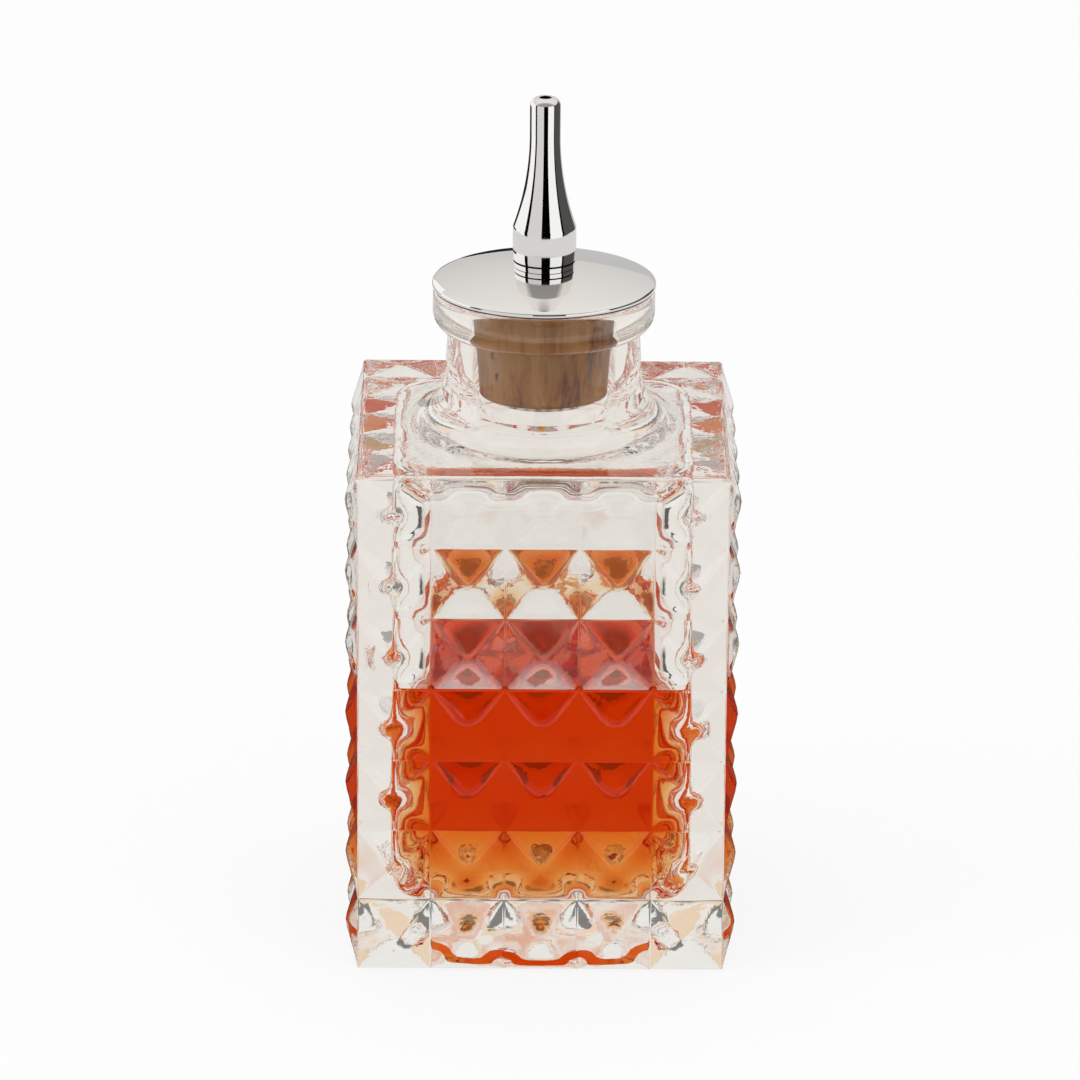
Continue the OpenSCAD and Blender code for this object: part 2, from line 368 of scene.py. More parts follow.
@dataclass(frozen=True)
class PolishedChrome:
    """Mirror chrome with hairline polishing marks and faint handling haze."""

    effects: Effects
    name: str = "polished_chrome"
    colour: tuple[float, float, float] = (0.90, 0.89, 0.87)
    clean: float = 0.025
    hazed: float = 0.075
    mark_depth: float = 0.0000015

    def material(self) -> bpy.types.Material:
        """Builds the material."""
        made = bpy.data.materials.new(self.name)
        made.use_nodes = True
        tree = Tree(made.node_tree)
        marks = tree.add("Group", {"node_tree": self.effects.scratches})
        rough = tree.add("MapRange", Value=marks.outputs["Haze"], To_Min=self.clean, To_Max=self.hazed)
        bump = tree.add("Bump", Strength=0.5, Distance=self.mark_depth, Height=marks.outputs["Height"])
        shader = tree.add(
            "BsdfPrincipled",
            Base_Color=(*self.colour, 1.0),
            Metallic=1.0,
            Roughness=rough.outputs[0],
            Normal=bump.outputs["Normal"],
        )
        tree.add("OutputMaterial", Surface=shader.outputs[0])
        return made


# Mesh helpers


def arc(centre: Point, radius: float, start: float, end: float, steps: int) -> list[Point]:
    """Points along an arc of a half section.

    Args:
        centre: Distance from the axis and height of the arc's centre.
        radius: The arc's radius.
        start: Angle of the first point in degrees, from outwards towards up.
        end: Angle of the last point in degrees.
        steps: Number of chords.

    Returns:
        The points as pairs of distance from the axis and height.
    """
    angles = [math.radians(start + (end - start) * i / steps) for i in range(steps + 1)]
    return [(centre[0] + radius * math.cos(a), centre[1] + radius * math.sin(a)) for a in angles]


def crossing(first: Vector, first_r: float, second: Vector, second_r: float) -> Vector:
    """Finds where two circles of a half section cross, to the right on the way to the second.

    Args:
        first: Centre of the first circle.
        first_r: Its radius.
        second: Centre of the second circle.
        second_r: Its radius.

    Returns:
        The crossing.
    """
    span = (second - first).length
    way = (second - first) / span
    along = (first_r**2 - second_r**2 + span**2) / (2 * span)
    return first + along * way + math.sqrt(first_r**2 - along**2) * Vector((way.y, -way.x))


def spin_section(bm: bmesh.types.BMesh, section: list[Point], steps: int) -> list[bmesh.types.BMVert]:
    """Turns a half section about the Z axis.

    Args:
        bm: The mesh to add to.
        section: Points as pairs of distance from the axis and height.
        steps: Faces around a full turn.

    Returns:
        The vertices of the section's two ends: its first ring and its last ring share these heights.
    """
    verts = [bm.verts.new((r, 0.0, z)) for r, z in section]
    edges = [bm.edges.new(pair) for pair in zip(verts, verts[1:])]
    bmesh.ops.spin(
        bm,
        geom=verts + edges,
        cent=(0, 0, 0),
        axis=(0, 0, 1),
        dvec=(0, 0, 0),
        angle=FULL_TURN,
        steps=steps,
        use_merge=True,
        use_duplicate=False,
    )
    return verts


def open_edges_at(bm: bmesh.types.BMesh, height: float) -> list[bmesh.types.BMEdge]:
    """The open edges that lie at one height."""
    near = 1e-6
    return [
        e for e in bm.edges if e.is_boundary and all(abs(v.co.z - height) < near for v in e.verts)
    ]


def close_flat(bm: bmesh.types.BMesh, height: float) -> None:
    """Fills the flat space between the open loops at one height."""
    bmesh.ops.triangle_fill(bm, use_beauty=True, use_dissolve=False, edges=open_edges_at(bm, height), normal=(0, 0, 1))


def finish_mesh(bm: bmesh.types.BMesh, name: str, *finishes: bpy.types.Material) -> bpy.types.Object:
    """Welds, turns the faces outwards and makes the object.

    Args:
        bm: The mesh, which is freed.
        name: The piece's name.
        *finishes: Its materials, by the faces' material numbers.

    Returns:
        The new object, linked to the scene.
    """
    bmesh.ops.remove_doubles(bm, verts=bm.verts, dist=2e-7)
    bmesh.ops.recalc_face_normals(bm, faces=bm.faces)
    for face in bm.faces:
        face.smooth = True
    mesh = bpy.data.meshes.new(name)
    bm.to_mesh(mesh)
    bm.free()
    for material in finishes:
        mesh.materials.append(material)
    made = bpy.data.objects.new(name, mesh)
    bpy.context.scene.collection.objects.link(made)
    return made


def crease_by_angle(piece: bpy.types.Object, degrees: float) -> None:
    """Keeps edges sharper than an angle crisp, and shades the rest smooth."""
    piece.data.set_sharp_from_angle(angle=math.radians(degrees))


def flatten_shading(piece: bpy.types.Object) -> None:
    """Lets large faces set the shading, so that facets stay flat beside their small bevels."""
    modifier = piece.modifiers.new("flat_facets", "WEIGHTED_NORMAL")
    modifier.mode = "FACE_AREA"
    modifier.weight = 100
    modifier.keep_sharp = True


# The bottle


@dataclass
class GlassBottle:
    """The square bottle with its diamond-point sides, and the hollow inside it."""

    width: float = 60 * MM
    height: float = 85.75 * MM
    columns: int = 5
    rows: int = 7
    point: float = 2.45 * MM
    wall: float = 5.5 * MM
    floor: float = 11 * MM
    shoulder: float = 4.2 * MM
    corner_r: float = 8 * MM
    floor_r: float = 5 * MM
    roof_r: float = 3 * MM
    throat_r: float = 6 * MM
    neck_r: float = 15.7 * MM
    neck_flare: float = 0.45 * MM
    fillet_r: float = 8 * MM
    lip_r: float = 18.2 * MM
    lip_h: float = 6.75 * MM
    lip_under_r: float = 3 * MM
    lip_top_r: float = 1.1 * MM
    bore_r: float = 12 * MM
    panel_r: float = 22 * MM
    panel_depth: float = 0.8 * MM
    edge_round: float = 1.2 * MM
    crispness: float = 10.0
    cell_steps: int = 18
    round_steps: int = 5
    around: int = 96
    swell: float = 0.5 * MM
    swell_length: float = 24 * MM
    wave: float = 0.14 * MM
    wave_length: float = 11 * MM
    wave_cuts: int = 14

    def lip_top(self) -> float:
        """Height of the lip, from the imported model."""
        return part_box("glass_bottle")[1].z

    def roof(self) -> float:
        """Height of the roof of the hollow."""
        return self.height - self.shoulder

    def hollow_half(self) -> float:
        """Half the width of the hollow."""
        return self.width / 2 - self.wall

    def hollow_mesh(self, bm: bmesh.types.BMesh, grow: float = 0.0) -> None:
        """Adds the rounded square hollow, closed.

        Args:
            bm: The mesh to add to.
            grow: How far it stands outside the real hollow.
        """
        low, high = self.floor - grow, self.roof() + grow
        half = self.hollow_half() + grow
        place = Matrix.Translation((0, 0, (low + high) / 2)) @ Matrix.Diagonal(
            (2 * half, 2 * half, high - low, 1)
        )
        cube = bmesh.ops.create_cube(bm, size=1.0, matrix=place)["verts"]
        upright = {e for v in cube for e in v.link_edges if abs(e.verts[0].co.z - e.verts[1].co.z) > high - low - 1e-6}
        self._round(bm, list(upright), self.corner_r + grow, 10)
        self._round(bm, self._rim(bm, low, half), self.floor_r + grow, 7)
        self._round(bm, self._rim(bm, high, half), self.roof_r + grow, 9)

    def set_unevenly(self, bm: bmesh.types.BMesh) -> None:
        """Cuts the hollow's walls finely and gives them the slow waves of glass that set in the open.

        Args:
            bm: A mesh in which everything below the roof of the hollow belongs to the hollow.
        """
        flat = self.hollow_half() - self.corner_r
        across = [-flat + 2 * flat * i / self.wave_cuts for i in range(1, self.wave_cuts)]
        up = [self.floor + (self.roof() - self.floor) * i / (2 * self.wave_cuts) for i in range(2, 2 * self.wave_cuts)]
        top = self.roof() + 1e-6
        for axis, places in enumerate((across, across, up)):
            way = Vector((0, 0, 0))
            way[axis] = 1
            for place in places:
                faces = [f for f in bm.faces if all(v.co.z < top for v in f.verts)]
                edges = {e for f in faces for e in f.edges}
                verts = {v for f in faces for v in f.verts}
                bmesh.ops.bisect_plane(bm, geom=[*verts, *edges, *faces], plane_co=way * place, plane_no=way)
        bmesh.ops.recalc_face_normals(bm, faces=bm.faces)
        bm.normal_update()
        centre = Vector((0, 0, (self.floor + self.roof()) / 2))
        for vert in bm.verts:
            if vert.co.z < top:
                side = 1 if vert.normal.dot(vert.co - centre) > 0 else -1
                vert.co += vert.normal * side * self._unevenness(vert.co)

    def _unevenness(self, place: Vector) -> float:
        """How far the glass stands in from its true place, as it set without a mould inside."""
        fade = min(1.0, max(0.0, (self.roof() - self.roof_r - place.z) / (8 * MM)))
        swell = self.swell * noise.noise(place / self.swell_length + Vector((3, 8, 2)))
        wave = self.wave * noise.noise(place / self.wave_length)
        ripple = 0.3 * self.wave * noise.noise(place / (self.wave_length * 0.45) + Vector((5, 1, 9)))
        return fade * (swell + wave + ripple)

    @staticmethod
    def _rim(bm: bmesh.types.BMesh, height: float, reach: float) -> list[bmesh.types.BMEdge]:
        """Edges round the flat face of the hollow at one height."""
        found = [
            f
            for f in bm.faces
            if all(abs(v.co.z - height) < 1e-6 and max(abs(v.co.x), abs(v.co.y)) < reach + 1e-6 for v in f.verts)
        ]
        return [e for f in found for e in f.edges]

    @staticmethod
    def _round(bm: bmesh.types.BMesh, edges: list[bmesh.types.BMEdge], radius: float, segments: int) -> None:
        """Rounds edges to a radius."""
        bmesh.ops.bevel(
            bm,
            geom=edges,
            offset=radius,
            offset_type="OFFSET",
            segments=segments,
            profile=0.5,
            affect="EDGES",
            material=-1,
            clamp_overlap=True,
        )

    def neck_section(self) -> list[Point]:
        """Half section from the shoulder, up the neck, over the lip and down the bore to the throat."""
        top = self.lip_top()
        base = top - self.lip_h
        foot = self.neck_r + self.neck_flare
        fillet = arc((foot + self.fillet_r, self.height + self.fillet_r), self.fillet_r, 270, 180, 14)
        wall_top = [(self.neck_r + 0.1 * MM, base - 1.2 * MM)]
        cove_r = 0.9 * MM
        cove = arc((self.neck_r + cove_r, base - 0.15 * MM), cove_r, 185, 110, 5)
        under = arc((self.lip_r - self.lip_under_r, base + self.lip_under_r), self.lip_under_r, 285, 360, 10)
        over = arc((self.lip_r - self.lip_top_r, top - self.lip_top_r), self.lip_top_r, 0, 90, 6)
        mouth = arc((self.bore_r + self.lip_top_r, top - self.lip_top_r), self.lip_top_r, 90, 180, 6)
        bore = [(self.bore_r, top - self.lip_top_r - 4 * MM * i) for i in range(1, 5)]
        throat = arc((self.bore_r + self.throat_r, self.roof() + self.throat_r), self.throat_r, 180, 270, 12)
        return fillet + wall_top + cove + under + over + mouth + bore + throat

    def pyramid(self, across: float, up: float) -> float:
        """How far the side stands out at a place in its cell.

        The mould's ridges press sharp valleys, but the glass never quite fills its pits, so the
        points and the ridges that run up to them come out soft.

        Args:
            across: Place across the cell, from -1 to 1.
            up: Place up the cell, from -1 to 1.

        Returns:
            The height above the valleys.
        """
        sharp = max(abs(across), abs(up))
        faces = sum(math.exp(self.crispness * (lean - sharp)) for lean in (across, -across, up, -up))
        softened = math.log(faces) / self.crispness
        return self.point * (1 - sharp - softened * (1 - sharp**4))

    @staticmethod
    def crowd(share: float) -> float:
        """Moves grid lines from the middle of a cell towards its valleys, both from 0 to 1."""
        return share - 0.6 * math.sin(FULL_TURN * share) / FULL_TURN

    def rows_up(self) -> list[tuple[float, float, float]]:
        """Heights of the grid's rows.

        Returns:
            For each row its height, its place up the cell, and how far the shoulder's rounding has
            drawn it in.
        """
        cell = self.height / self.rows
        lean = math.atan(self.point / (cell / 2))
        run = self.edge_round / math.tan(math.radians(45) + lean / 2)
        levels = [
            (i + self.crowd(j / self.cell_steps)) * cell for i in range(self.rows) for j in range(self.cell_steps)
        ]
        start = self.height - run * math.cos(lean)
        rows = [(z, 2 * (z / cell % 1) - 1, 0.0) for z in levels if z < start - self.edge_round / 4]
        for step in range(self.round_steps + 1):
            angle = lean + (math.pi / 2 - lean) * step / self.round_steps
            z = self.height - self.edge_round + self.edge_round * math.sin(angle)
            rows.append((z, 1.0, run - self.edge_round * math.cos(angle)))
        return rows

    def side_panels(self, bm: bmesh.types.BMesh) -> None:
        """Adds the four cut sides, each from a grid that is drawn out into pyramids."""
        rows = self.rows_up()
        across = self.columns * self.cell_steps
        up = len(rows) - 1
        cell = self.width / self.columns
        half = self.width / 2
        for quarter in range(4):
            turn = Matrix.Rotation(quarter * math.pi / 2, 4, "Z")
            grid = bmesh.ops.create_grid(bm, x_segments=across, y_segments=up, size=0.5)["verts"]
            for vert in grid:
                column, step = divmod(round((vert.co.x + 0.5) * across), self.cell_steps)
                z, place_up, drawn_in = rows[round((vert.co.y + 0.5) * up)]
                x = (column + self.crowd(step / self.cell_steps)) * cell - half
                out = self.pyramid(2 * self.crowd(step / self.cell_steps) - 1, place_up)
                reach = (half - drawn_in) / half
                vert.co = turn @ Vector((x * reach, -half + drawn_in - max(out, 0.0), z))
            faces = list({f for v in grid for f in v.link_faces})
            outward = turn @ Vector((0, -1, 0))
            bm.normal_update()
            bmesh.ops.reverse_faces(bm, faces=[f for f in faces if f.normal.dot(outward) < 0])
        bmesh.ops.remove_doubles(bm, verts=bm.verts, dist=1e-6)

    def glass(self, dry: bpy.types.Material, wet: bpy.types.Material, level: float) -> bpy.types.Object:
        """Builds the bottle as one closed skin.

        Args:
            dry: The glass where it meets air.
            wet: The same glass where it meets the fill.
            level: Height up to which the hollow is wet.

        Returns:
            The piece.
        """
        bm = bmesh.new()
        self.hollow_mesh(bm)
        roof = [f for f in bm.faces if all(abs(v.co.z - self.roof()) < 1e-6 for v in f.verts)]
        bmesh.ops.delete(bm, geom=roof, context="FACES")
        spin_section(bm, self.neck_section(), self.around)
        close_flat(bm, self.roof())
        bmesh.ops.remove_doubles(bm, verts=bm.verts, dist=1e-6)
        self.set_unevenly(bm)
        bmesh.ops.bisect_plane(
            bm, geom=bm.verts[:] + bm.edges[:] + bm.faces[:], plane_co=(0, 0, level), plane_no=(0, 0, 1)
        )
        for face in bm.faces:
            face.material_index = int(face.calc_center_median().z < level)
        self.side_panels(bm)
        close_flat(bm, self.height)
        panel = [(self.panel_r + self.panel_depth, 0.0), (self.panel_r, self.panel_depth), (0.0, self.panel_depth)]
        spin_section(bm, panel, self.around)
        close_flat(bm, 0.0)
        piece = finish_mesh(bm, "pressed_bottle", dry, wet)
        crease_by_angle(piece, 60)
        flatten_shading(piece)
        return piece


@dataclass
class BittersFill:
    """What the hollow holds, up to the fill line: the body of the liquid, and the skin that bends light."""

    bottle: GlassBottle
    film: float = 0.01 * MM
    climb: float = 0.7 * MM
    climb_width: float = 1.4 * MM
    skin: float = 0.1 * MM

    def level(self) -> float:
        """Height of the still surface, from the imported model."""
        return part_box("bitters")[1].z

    def wet_height(self) -> float:
        """Height that the fill climbs to on the glass."""
        return self.level() + self.climb

    def _hollow_part(self, drop: float) -> tuple[bmesh.types.BMesh, list[bmesh.types.BMFace]]:
        """Builds the fill's shape.

        Args:
            drop: How far its surface lies under the real one.

        Returns:
            The closed mesh, and the faces of its surface with the curve that climbs the glass.
        """
        bm = bmesh.new()
        self.bottle.hollow_mesh(bm, -self.film)
        self.bottle.set_unevenly(bm)
        bmesh.ops.bisect_plane(
            bm,
            geom=bm.verts[:] + bm.edges[:] + bm.faces[:],
            plane_co=(0, 0, self.wet_height() - drop),
            plane_no=(0, 0, 1),
            clear_outer=True,
        )
        rim = [e for e in bm.edges if e.is_boundary]
        top = bmesh.ops.edgeloop_fill(bm, edges=rim)["faces"]
        surface = list(top)
        for share, sunk in ((0.18, 0.42), (0.27, 0.75), (0.55, 1.0)):
            ring = bmesh.ops.inset_region(bm, faces=top, thickness=self.climb_width * share, use_even_offset=True)
            surface += ring["faces"]
            for vert in {v for f in top for v in f.verts}:
                vert.co.z = self.level() + self.climb * (1 - sunk) - drop
        return bm, surface

    def body(self, depth: bpy.types.Material) -> bpy.types.Object:
        """Builds the body of the liquid, a film's width off the glass.

        Args:
            depth: The bitters inside, where the glass and the skin have bent the light already.

        Returns:
            The piece.
        """
        bm, _ = self._hollow_part(1.2 * self.skin)
        piece = finish_mesh(bm, "bitters_fill", depth)
        flatten_shading(piece)
        return piece

    def surface(self, surface: bpy.types.Material, under: bpy.types.Material) -> bpy.types.Object:
        """Builds the skin on the liquid, closed below by a face that bends nothing.

        Args:
            surface: The bitters where they meet air.
            under: The skin's other faces.

        Returns:
            The piece.
        """
        bm, top = self._hollow_part(0.0)
        upper = set(top)
        bmesh.ops.delete(bm, geom=[f for f in bm.faces if f not in upper], context="FACES")
        grown = bmesh.ops.extrude_face_region(bm, geom=bm.faces[:], use_keep_orig=True)["geom"]
        lower = [v for v in grown if isinstance(v, bmesh.types.BMVert)]
        bmesh.ops.translate(bm, verts=lower, vec=(0, 0, -self.skin))
        for face in bm.faces:
            face.material_index = int(face not in upper)
        piece = finish_mesh(bm, "bitters_surface", surface, under)
        flatten_shading(piece)
        return piece


# The stopper


@dataclass
class CorkStopper:
    """The tapered cork, with its pores modelled and its edges worn."""

    around: int = 160
    layers: int = 64
    pore_depth: float = 0.35 * MM
    uneven: float = 0.06 * MM
    bevel: float = 0.7 * MM
    taper: float = 1.3 * MM
    hole_r: float = 3.05 * MM

    def cork(self, material: bpy.types.Material) -> bpy.types.Object:
        """Builds the cork.

        Args:
            material: Its finish.

        Returns:
            The piece.
        """
        low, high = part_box("cork")
        top_r = high.x
        base_r = top_r - self.taper
        side = [
            (base_r + (top_r - base_r) * i / self.layers, low.z + self.bevel + (high.z - low.z - self.bevel) * i / self.layers)
            for i in range(self.layers + 1)
        ]
        nose = arc((base_r - self.bevel, low.z + self.bevel), self.bevel, 270, 350, 5)
        section = [(self.hole_r, low.z)] + nose + side + [(self.hole_r, high.z), (self.hole_r, low.z)]
        bm = bmesh.new()
        spin_section(bm, section, self.around)
        bmesh.ops.remove_doubles(bm, verts=bm.verts, dist=1e-7)
        bm.normal_update()
        for vert in bm.verts:
            self._weather(vert)
        return finish_mesh(bm, "tapered_cork", material)

    def _weather(self, vert: bmesh.types.BMVert) -> None:
        """Sinks a vertex of the cork's side into a pore or a hollow, and never moves it outwards."""
        reach = math.hypot(vert.co.x, vert.co.y)
        if reach < 2 * self.hole_r:
            return
        upright = Vector((vert.co.x, vert.co.y, vert.co.z * 0.35))
        swell = 0.5 + 0.5 * noise.noise(upright * 420)
        pore = max(0.0, noise.noise(upright * 900 + Vector((7, 3, 1))) - 0.42) / 0.3
        sink = self.uneven * swell + self.pore_depth * min(1.0, pore)
        share = (reach - sink) / reach
        vert.co.x *= share
        vert.co.y *= share


@dataclass
class DasherTop:
    """The domed plate, the spout on it, and the tube and washer that hold the cork."""

    rim_t: float = 1.15 * MM
    rim_edge: float = 0.4 * MM
    dome_r: float = 64 * MM
    hole_r: float = 3.05 * MM
    foot_r: float = 5.2 * MM
    foot_h: float = 6.6 * MM
    belly_h: float = 4.7 * MM
    belly_r: float = 42 * MM
    corner_r: float = 1.5 * MM
    tip_r: float = 2.5 * MM
    tip_h: float = 6.4 * MM
    tip_edge: float = 1.4 * MM
    seam_h: float = 1.0 * MM
    seam: float = 0.32 * MM
    dash_r: float = 1.0 * MM
    passage_r: float = 2.0 * MM
    socket_h: float = 5.45 * MM
    around: int = 128

    def plate(self, material: bpy.types.Material) -> bpy.types.Object:
        """Builds the domed plate."""
        low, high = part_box("cap_plate")
        rim_in = high.x - self.rim_edge
        rim_z = low.z + self.rim_t
        drop = math.sqrt(self.dome_r**2 - high.x**2)
        seat_r = self.foot_r + 0.15 * MM
        rim_angle = math.degrees(math.asin(rim_in / self.dome_r))
        seat_angle = math.degrees(math.asin(seat_r / self.dome_r))
        dome = arc((0.0, rim_z - drop), self.dome_r, 90 - rim_angle, 90 - seat_angle, 40)
        edge = arc((rim_in, low.z + self.rim_edge), self.rim_edge, 270, 360, 6) + arc(
            (rim_in, rim_z - self.rim_edge), self.rim_edge, 0, 70, 6
        )
        section = [(self.hole_r, low.z)] + edge + dome[1:] + [(self.hole_r, dome[-1][1]), (self.hole_r, low.z)]
        bm = bmesh.new()
        spin_section(bm, section, self.around)
        piece = finish_mesh(bm, "domed_plate", material)
        crease_by_angle(piece, 35)
        return piece

    def spout_profile(self, low: float, high: float) -> list[Point]:
        """Half section of the spout's outside.

        Args:
            low: Height of its seat.
            high: Height of its tip.

        Returns:
            The barrelled foot, its soft corner, the hollow waist and the round-ended tip.
        """
        waist_z = high - self.tip_h
        rise = waist_z - (low + self.foot_h)
        step = self.foot_r - self.tip_r
        waist_r = (rise**2 + step**2) / (2 * step)
        waist = Vector((self.tip_r + waist_r, waist_z))
        belly = Vector((self.foot_r - self.belly_r, low + self.belly_h))
        corner = crossing(belly, self.belly_r - self.corner_r, waist, waist_r + self.corner_r)
        foot_turn = math.degrees(math.asin(self.belly_h / self.belly_r))
        belly_turn = math.degrees(math.atan2(corner.y - belly.y, corner.x - belly.x))
        waist_turn = math.degrees(math.atan2(waist.y - corner.y, waist.x - corner.x))
        return (
            arc(tuple(belly), self.belly_r, -foot_turn, belly_turn, 14)
            + arc(tuple(corner), self.corner_r, belly_turn, waist_turn, 8)[1:]
            + arc(tuple(waist), waist_r, 180 + waist_turn, 180, 40)[1:]
            + arc((self.tip_r - self.tip_edge, high - self.tip_edge), self.tip_edge, 0, 90, 10)
        )

    def spout(self, material: bpy.types.Material, seam_shade: bpy.types.Material) -> bpy.types.Object:
        """Builds the spout with its passage.

        Args:
            material: The polished metal.
            seam_shade: Near-black dull metal on the seam groove round its foot, a painted shade.

        Returns:
            The piece.
        """
        low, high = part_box("spout")
        waist_z = high.z - self.tip_h
        dash = [(self.dash_r + 0.05 * MM, high.z), (self.dash_r, high.z - 0.05 * MM), (self.dash_r, waist_z)]
        socket_z = low.z + self.socket_h
        inside = [(self.passage_r, socket_z), (self.hole_r, socket_z), (self.hole_r, low.z)]
        outside = self.spout_profile(low.z, high.z)
        seam_r = self.foot_r - self.belly_r + math.sqrt(self.belly_r**2 - (self.belly_h - self.seam_h) ** 2)
        seam_z = low.z + self.seam_h
        half = self.seam / 2
        deep = seam_r - 0.6 * MM
        above = next(i for i, (_, z) in enumerate(outside) if z > seam_z + self.seam)
        below = next(i for i, (_, z) in enumerate(outside) if z > seam_z - self.seam)
        groove = [(seam_r, seam_z - half), (deep, seam_z - half), (deep, seam_z + half), (seam_r, seam_z + half)]
        outside = outside[:below] + groove + outside[above:]
        bm = bmesh.new()
        spin_section(bm, [*outside, *dash, *inside, outside[0]], self.around)
        # Painted shade: the faces deep in the seam groove take the near-black metal.
        for face in bm.faces:
            centre = face.calc_center_median()
            in_seam = abs(centre.z - seam_z) < half + 0.01 * MM and math.hypot(centre.x, centre.y) > deep - 0.1 * MM
            face.material_index = int(in_seam)
        piece = finish_mesh(bm, "dasher_spout", material, seam_shade)
        crease_by_angle(piece, 30)
        return piece


# The studio


@dataclass(frozen=True)
class Card:
    """An upright panel on an arc round the bottle, which only mirrors show.

    Angles are degrees round the bottle from the camera towards +X, and up from the spout.
    """

    name: str
    start: float
    end: float
    low: float
    high: float
    level: float
    distance: float = 0.20


